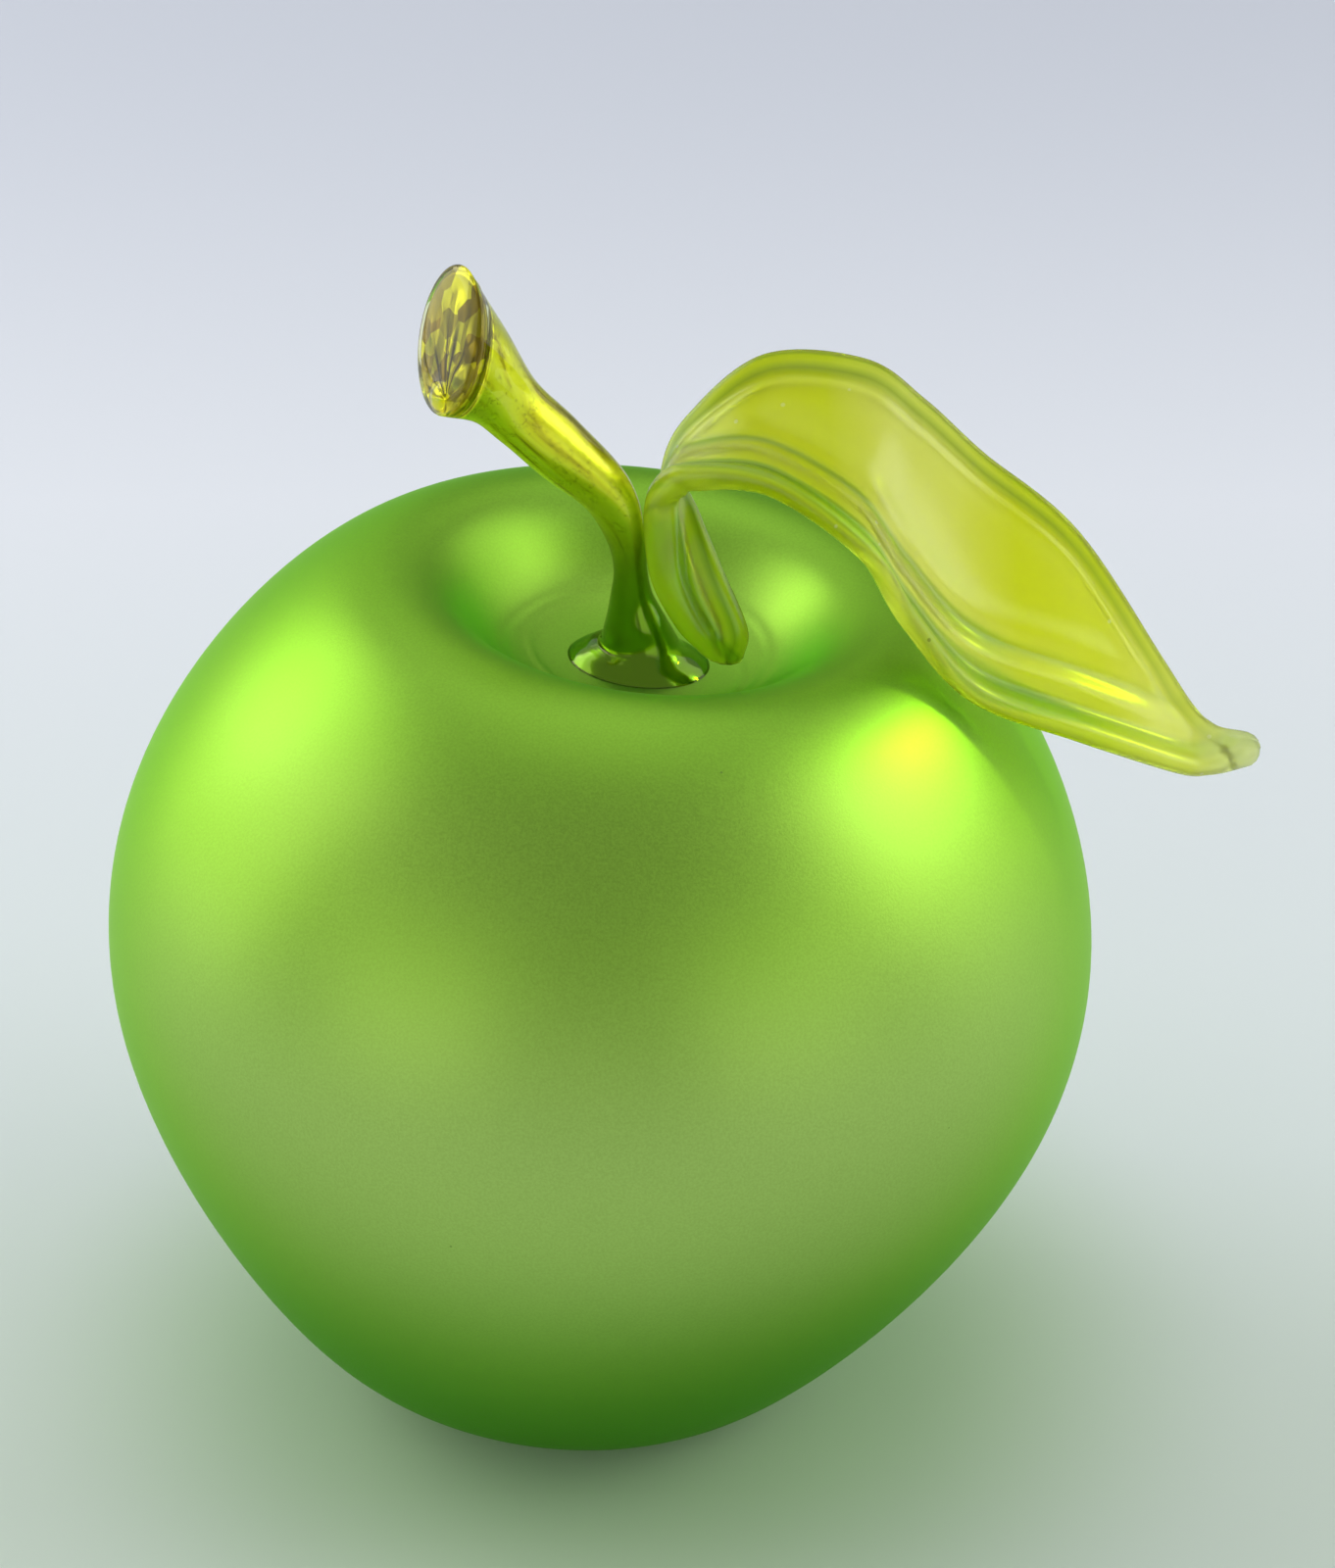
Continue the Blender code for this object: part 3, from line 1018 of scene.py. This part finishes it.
# %% [markdown]
# ## The stem's nipped end
#
# Where the tool nipped the tube off, its silvered inside folded up like a drawn purse.
# The folds run together at the small lip at the bottom. They sit under the clear dome, so
# they are a piece of their own: rings that shrink towards the lip, pushed in and out by
# sharp triangle waves for the pleats and by noise for the crumpling.

# %% Nipped end
PLEAT_SIDES = 160
PLEAT_RINGS = 28
PLEAT_INSET = 0.6
PLEAT_SUNK = 0.5
PLEAT_DEPTH = 0.6
PLEAT_MIDDLE = 0.35
CRUMPLE_SIZE = 3.2
CRUMPLE_DEPTH = 0.7
PLEAT_BACK = 0.5
PLEAT_BACK_INSET = 0.2
PLEATS_SHRINK_BY = 0.96

# The pleats are deepest between the rim and the lip, and die out at both.
PLEAT_RIM_SHARE = 1.15
PLEAT_FULLNESS = 0.6

# Each set of pleats: how many, where the first lies as a share of a turn, and its weight
PLEAT_SETS = ((5.0, 0.35, 0.75), (9.0, 0.1, 0.25))


def fold(value):
    """A sharp triangle wave between 0 and 1."""
    return abs((value % 1.0) - 0.5) * 2.0


def fold_end(material):
    rim_centre = CUT_CENTRE - CUT_NORMAL * PLEAT_SUNK
    long_radius = CUT_LONG_RADIUS - PLEAT_INSET
    short_radius = CUT_SHORT_RADIUS - PLEAT_INSET
    back = oval_ring(
        rim_centre - CUT_NORMAL * PLEAT_BACK,
        CUT_NORMAL,
        long_radius - PLEAT_BACK_INSET,
        short_radius - PLEAT_BACK_INSET,
        PLEAT_SIDES,
    )
    rim = oval_ring(rim_centre, CUT_NORMAL, long_radius, short_radius, PLEAT_SIDES)
    lip = LIP_CENTRE - CUT_NORMAL * PLEAT_SUNK
    rings = [back, rim]
    for step in range(1, PLEAT_RINGS + 1):
        size = 1.0 - PLEATS_SHRINK_BY * step / PLEAT_RINGS
        ring = []
        for i, point in enumerate(rim):
            turn = i / PLEAT_SIDES
            pleat = sum(weight * fold(count * turn + first) for count, first, weight in PLEAT_SETS)
            flat = lip + (point - lip) * size
            crumple = abs(noise.noise(flat / CRUMPLE_SIZE)) * CRUMPLE_DEPTH
            push = math.sin(math.pi * min(size * PLEAT_RIM_SHARE, 1.0)) ** PLEAT_FULLNESS
            ring.append(flat - CUT_NORMAL * push * (PLEAT_DEPTH * pleat + crumple - PLEAT_MIDDLE))
        rings.append(ring)
    shape = sweep_rings(rings)
    finish_piece(shape, "stem_end_pleats", material)


fold_end(crumpled_silvering())

# %% [markdown]
# ## The leaf
#
# The leaf was pulled from one strip of hot glass. Its edges rolled into thick rims while
# the middle stretched thin. A ring of points in the shape of that section is extruded
# along the two edges. The edges turn about each other, which gives the twist.

# %% Pull the leaf
# Where the near and the far edge pass, from the pad in the dimple to the tip
LEAF_STATIONS = (
    ((6.4, -4.2, 77.9), (10.0, -2.7, 76.9)),
    ((4.1, -4.0, 80.5), (10.4, -2.2, 79.5)),
    ((1.9, -3.4, 85.2), (8.2, -0.6, 84.4)),
    ((2.0, -3.2, 90.9), (5.4, 2.8, 88.7)),
    ((3.3, -3.4, 93.3), (3.7, 5.0, 91.6)),
    ((5.5, -4.0, 94.6), (5.6, 7.0, 96.0)),
    ((12.5, -7.0, 95.0), (11.9, 7.5, 101.6)),
    ((20.5, -10.0, 90.0), (20.5, 5.5, 102.2)),
    ((24.5, -11.0, 83.7), (25.7, 4.5, 98.9)),
    ((30.2, -11.5, 77.0), (31.0, 3.5, 94.2)),
    ((39.6, -10.0, 72.3), (39.8, 1.5, 87.2)),
    ((48.8, -7.5, 67.8), (49.2, -0.8, 73.0)),
    ((52.0, -6.5, 67.0), (52.3, -2.2, 69.8)),
    ((55.2, -5.6, 67.3), (55.5, -3.0, 69.2)),
)
LEAF_SECTIONS_PER_SPAN = 12
RIM_POINTS = 10
WEB_POINTS = 44
BLADE_THICKNESS = 1.2
BLADE_CUP = 1.5

# Long soft folds in the web: distance from an edge, width and height. They start on the
# arch and fade out before the tip.
NEAR_FOLDS = ((3.3, 0.8, -0.35), (5.0, 0.9, 0.22), (7.0, 1.0, -0.32), (9.0, 1.4, 0.15))
FAR_FOLDS = ((2.3, 0.6, -0.30), (3.6, 0.9, 0.12))
FOLDS_DEEPEN = (0.28, 0.42)
FOLDS_FADE = (0.93, 0.8)
NARROW_WEB = 9.0

# The rims' radii: at the stalk, how much thinner they get on the arch and towards the tip,
# and how much thicker in the tip itself
NEAR_RIM = 1.6
NEAR_RIM_THINS_ON_ARCH = 0.35
NEAR_RIM_THINS_TO_TIP = 0.15
NEAR_RIM_TIP = 0.5
FAR_RIM = 1.5
FAR_RIM_THINS = 0.65
FAR_RIM_TIP = 0.7

# Between which shares of the leaf's length each of these changes happens
ARCH_SPAN = (0.35, 0.6)
TOWARDS_TIP_SPAN = (0.8, 0.9)
FAR_RIM_SPAN = (0.1, 0.4)
TIP_SPAN = (0.92, 1.0)
CUP_DEEPENS = (0.3, 0.5)
CUP_FADES = (0.97, 0.75)

# A rim is at most this share of the half width, and nearly all of it at the tip.
RIM_LIMIT = 0.5
RIM_LIMIT_GROWS_BY = 0.46
RIM_LIMIT_SPAN = (0.93, 1.0)

# The rounded ends: the size of each smaller ring, and how far out it lies
PAD_END = ((0.3, 0.9), (0.7, 0.6))
TIP_END = ((0.85, 0.6), (0.6, 1.0), (0.3, 1.2))


def half_thickness(reaches, rims, web):
    """Half the glass's thickness at a distance from each edge of the leaf."""
    thickness = web
    for reach, rim in zip(reaches, rims):
        if reach < rim:
            return math.sqrt(max(rim * rim - (rim - reach) ** 2, 0.0))
        thickness += (rim - web) * swell(reach, rim, rim * 0.8)
    return thickness


def fold_height(from_near, from_far):
    """How far the web's long folds lift it at a distance from each edge."""
    near = sum(rise * swell(from_near, place, width) for place, width, rise in NEAR_FOLDS)
    far = sum(rise * swell(from_far, place, width) for place, width, rise in FAR_FOLDS)
    return near + far


def leaf_section(near, far, along, rims, rim_limit, cup, folds):
    """Points round the strip: a round rim on each edge and a thin cupped web between."""
    across = (far - near).normalized()
    half_width = (far - near).length / 2.0
    up = along.cross(across).normalized()
    middle = (near + far) / 2.0
    rims = [min(rim, half_width * rim_limit) for rim in rims]
    web = min(BLADE_THICKNESS / 2.0, *rims)
    near_rim, far_rim = rims
    places = []
    for i in range(RIM_POINTS):
        places.append(-half_width + near_rim * (1.0 - math.cos(math.pi / 2.0 * i / RIM_POINTS)))
    for i in range(WEB_POINTS + 1):
        inner = (2.0 * half_width - near_rim - far_rim) * i / WEB_POINTS
        places.append(-half_width + near_rim + inner)
    for i in range(RIM_POINTS - 1, -1, -1):
        places.append(half_width - far_rim * (1.0 - math.cos(math.pi / 2.0 * i / RIM_POINTS)))
    top = []
    for x in places:
        reaches = (x + half_width, half_width - x)
        lift = folds * ease(0.0, NARROW_WEB, half_width) * fold_height(*reaches)
        top.append((x, half_thickness(reaches, rims, web), lift))
    outline = top + [(x, -z, lift) for x, z, lift in reversed(top[1:-1])]
    ring = []
    for x, z, lift in outline:
        sag = cup * (1.0 - (x / half_width) ** 2)
        ring.append(middle + across * x + up * (z - sag + lift))
    return ring, [(x + half_width, half_width - x) for x, z, lift in outline]


def shrunken(ring, inner, size, reach):
    """A smaller copy of an end ring, moved outwards so that the end is round."""
    centre = sum(ring, Vector()) / len(ring)
    inside = sum(inner, Vector()) / len(inner)
    outwards = (centre - inside).normalized() * reach
    return [centre + (point - centre) * size + outwards for point in ring]


def pull_leaf(material):
    stations = [near + far for near, far in LEAF_STATIONS]
    path = smooth_through(stations, LEAF_SECTIONS_PER_SPAN)
    near_edge = [Vector(row[:3]) for row in path]
    far_edge = [Vector(row[3:]) for row in path]
    last = len(path) - 1
    rings = []
    reaches = []
    for index, (near, far) in enumerate(zip(near_edge, far_edge)):
        low = max(index - 1, 0)
        high = min(index + 1, last)
        along = near_edge[high] + far_edge[high] - near_edge[low] - far_edge[low]
        share = index / last
        tip = ease(*TIP_SPAN, share)
        near_rim = NEAR_RIM - NEAR_RIM_THINS_ON_ARCH * ease(*ARCH_SPAN, share)
        near_rim += NEAR_RIM_TIP * tip - NEAR_RIM_THINS_TO_TIP * ease(*TOWARDS_TIP_SPAN, share)
        far_rim = FAR_RIM - FAR_RIM_THINS * ease(*FAR_RIM_SPAN, share) + FAR_RIM_TIP * tip
        rim_limit = RIM_LIMIT + RIM_LIMIT_GROWS_BY * ease(*RIM_LIMIT_SPAN, share)
        cup = BLADE_CUP * ease(*CUP_DEEPENS, share) * ease(*CUP_FADES, share)
        folds = ease(*FOLDS_DEEPEN, share) * ease(*FOLDS_FADE, share)
        rims = (near_rim, far_rim)
        section, places = leaf_section(near, far, along, rims, rim_limit, cup, folds)
        rings.append(section)
        reaches.append(places)
    pad_end = [shrunken(rings[0], rings[1], size, reach) for size, reach in PAD_END]
    tip_end = [shrunken(rings[-1], rings[-2], size, reach) for size, reach in TIP_END]
    reaches = [reaches[0]] * len(pad_end) + reaches + [reaches[-1]] * len(tip_end)
    shape = sweep_rings(pad_end + rings + tip_end, reaches)
    finish_piece(shape, "pulled_leaf", material, "leaf")


pull_leaf(satin_leaf_glass())

# %% [markdown]
# ## The studio
#
# The camera looks down on the apple at 30 degrees from close by. A soft light on each
# side gives the satin glass its two wide highlights, and a dim room leaves the darker
# patch between them. Large weak fills stand for a bright room's walls and ceiling. The
# pale floor carries painted light: its tone is painted to fall off towards the front and
# the back, and a painted green bounce and shade lies on it near the apple.

# %% Floor
FLOOR_HALF_SIZE = 2.0
PAINTED_FALLOFF_FROM = -0.06
PAINTED_FALLOFF_TO = 0.40
PAINTED_BOUNCE_FULL = 0.022
PAINTED_BOUNCE_ENDS = 0.064


def lay_floor():
    shape = bmesh.new()
    bmesh.ops.create_grid(shape, x_segments=4, y_segments=4, size=FLOOR_HALF_SIZE)
    mesh = bpy.data.meshes.new("floor")
    shape.to_mesh(mesh)
    shape.free()
    floor = bpy.data.objects.new("floor", mesh)
    bpy.context.scene.collection.objects.link(floor)
    material, tree = new_material("pale_paper_floor")
    place = add_node(tree, "ShaderNodeTexCoord").outputs["Object"]
    depth = add_node(tree, "ShaderNodeSeparateXYZ", Vector=place).outputs["Y"]
    painted_falloff = add_node(
        tree,
        "ShaderNodeMapRange",
        {"interpolation_type": "SMOOTHSTEP"},
        Value=depth,
        From_Min=PAINTED_FALLOFF_FROM,
        From_Max=PAINTED_FALLOFF_TO,
    )
    # Painted light: the floor is painted darker towards the front and the back, where the light
    # falls off.
    colour = ramp(
        tree,
        painted_falloff.outputs["Result"],
        [
            (0.0, linear("#E6F2E5")),
            (0.1, linear("#EEF7F5")),
            (0.55, linear("#F3F7FC")),
            (1.0, linear("#DCE1EA")),
        ],
    )
    reach = add_node(tree, "ShaderNodeVectorMath", {"operation": "LENGTH"}, Vector=place)
    nearness = add_node(
        tree,
        "ShaderNodeMapRange",
        {"interpolation_type": "SMOOTHSTEP"},
        Value=reach.outputs["Value"],
        From_Min=PAINTED_BOUNCE_FULL,
        From_Max=PAINTED_BOUNCE_ENDS,
    )
    # Painted light: a green bounce and shade painted on the floor near the apple.
    painted_green_bounce = add_node(
        tree,
        "ShaderNodeMixRGB",
        {"blend_type": "MULTIPLY"},
        Fac=1.0,
        Color1=colour,
        Color2=ramp(
            tree,
            nearness.outputs["Result"],
            [(0.0, linear("#DAEBC8")), (1.0, (1.0, 1.0, 1.0, 1.0))],
        ),
    )
    shader = add_node(
        tree, "ShaderNodeBsdfPrincipled", Base_Color=painted_green_bounce.outputs["Color"], Roughness=0.9
    )
    add_node(tree, "ShaderNodeOutputMaterial", Surface=shader.outputs["BSDF"])
    mesh.materials.append(material)
    print("floor", 2.0 * FLOOR_HALF_SIZE, "m square")


lay_floor()

# %% Lights
# Each soft light is given its direction, distance in metres, size in metres and watts.
APPLE_HEART = Vector((0.0, 0.0, 0.045))


def softbox(name, direction, distance, size, power):
    """A square soft light that faces the apple from a direction."""
    lamp = bpy.data.lights.new(name, "AREA")
    lamp.shape = "SQUARE"
    lamp.size = size
    lamp.energy = power
    light = bpy.data.objects.new(name, lamp)
    bpy.context.scene.collection.objects.link(light)
    way = Vector(direction).normalized()
    light.location = APPLE_HEART + way * distance
    light.rotation_euler = way.to_track_quat("Z", "Y").to_euler()
    print("light", name, power, "W")


softbox("left_softbox", (-0.74, 0.47, 0.48), 0.75, 0.40, 0.60)
softbox("left_fill", (-0.85, 0.25, 0.40), 0.75, 0.75, 2.1)
softbox("right_softbox", (0.87, -0.05, 0.49), 0.75, 0.42, 0.80)
softbox("right_fill", (0.87, 0.25, 0.40), 0.75, 0.75, 1.4)
softbox("back_left_fill", (-0.7, 1.0, 0.22), 1.2, 1.2, 1.3)
softbox("top_fill", (0.0, 0.1, 1.0), 1.0, 0.7, 0.7)
softbox("back_top_fill", (0.0, 0.75, 1.0), 1.0, 0.7, 0.6)
softbox("front_left_fill", (-0.9, -1.0, 0.2), 1.0, 0.7, 1.15)
softbox("front_right_fill", (0.9, -1.0, 0.2), 1.0, 0.7, 1.0)
softbox("front_low_fill", (0.0, -1.0, 0.04), 1.0, 0.4, 0.18)


# %% The leaf's glow on the apple
# Light through the leaf paints a yellow patch on the shoulder below it. Light bent by
# glass takes very many samples to settle, so one narrow soft beam paints the patch here.
GLOW_AIM = Vector((0.0340, -0.013, 0.0730))
GLOW_DIRECTION = Vector((0.80, 0.36, 0.48)).normalized()
GLOW_DISTANCE = 0.3
GLOW_SPREAD = math.radians(9.0)
GLOW_POWER = 1.5


def leaf_glow():
    lamp = bpy.data.lights.new("leaf_glow", "SPOT")
    lamp.energy = GLOW_POWER
    lamp.color = linear("#E0FF00")[:3]
    lamp.spot_size = GLOW_SPREAD
    lamp.spot_blend = 1.0
    lamp.shadow_soft_size = 0.02
    light = bpy.data.objects.new("leaf_glow", lamp)
    bpy.context.scene.collection.objects.link(light)
    light.location = GLOW_AIM + GLOW_DIRECTION * GLOW_DISTANCE
    light.rotation_euler = GLOW_DIRECTION.to_track_quat("Z", "Y").to_euler()
    print("glow from", [round(value, 4) for value in light.location])


leaf_glow()

# %% Room
world = bpy.data.worlds.new("dim_room")
bpy.context.scene.world = world
world.use_nodes = True
world.node_tree.nodes["Background"].inputs["Color"].default_value = linear("#F4F7FF")
world.node_tree.nodes["Background"].inputs["Strength"].default_value = 0.37
bpy.context.scene.view_settings.view_transform = "Standard"

# %% Camera
CAMERA_ELEVATION = math.radians(30.0)
CAMERA_DISTANCE = 0.380
CAMERA_TARGET = Vector((0.00331, 0.0, 0.06221))
FOCAL_LENGTH = 95.25
FILM_SIZE = 36.0


def place_camera():
    lens = bpy.data.cameras.new("camera")
    lens.lens = FOCAL_LENGTH
    lens.sensor_width = FILM_SIZE
    lens.clip_start = 0.01
    camera = bpy.data.objects.new("camera", lens)
    bpy.context.scene.collection.objects.link(camera)
    back = Vector((0.0, -math.cos(CAMERA_ELEVATION), math.sin(CAMERA_ELEVATION)))
    camera.location = CAMERA_TARGET + back * CAMERA_DISTANCE
    camera.rotation_euler = back.to_track_quat("Z", "Y").to_euler()
    bpy.context.scene.camera = camera
    print("camera at", [round(value, 4) for value in camera.location])


place_camera()
